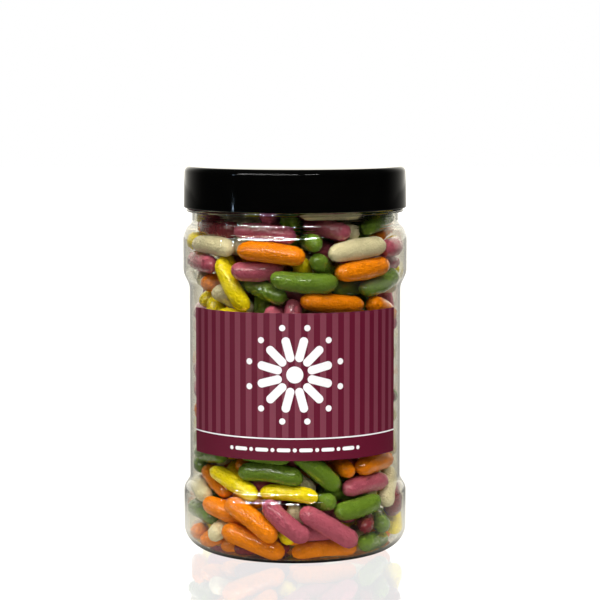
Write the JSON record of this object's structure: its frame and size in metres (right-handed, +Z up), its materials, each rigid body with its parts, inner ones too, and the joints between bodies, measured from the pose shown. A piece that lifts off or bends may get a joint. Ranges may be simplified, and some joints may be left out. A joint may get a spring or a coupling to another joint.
{
  "type": "jar of liquorice comfits",
  "caption": "Clear plastic jar with a waisted panel, black screw lid and plum striped label, full of sugar-coated liquorice comfits in mixed colours.",
  "frame": {"origin": "centre of the foot, on the surface that the jar stands on", "axes": "+Z up the jar's axis, -Y out through the middle of the label, +X to the label's right"},
  "size_m": [0.0928, 0.0928, 0.1597],
  "materials": {
    "clear_plastic": "clear glossy moulded plastic",
    "black_plastic": "glossy black plastic",
    "label_paper": "printed label with a soft sheen",
    "sugar_shell": "glossy polished sugar shell in mixed colours"
  },
  "bodies": {
    "root": {"jar": "clear_plastic", "lid": "black_plastic", "label": "label_paper", "comfits": "sugar_shell"}
  },
  "joints": []
}
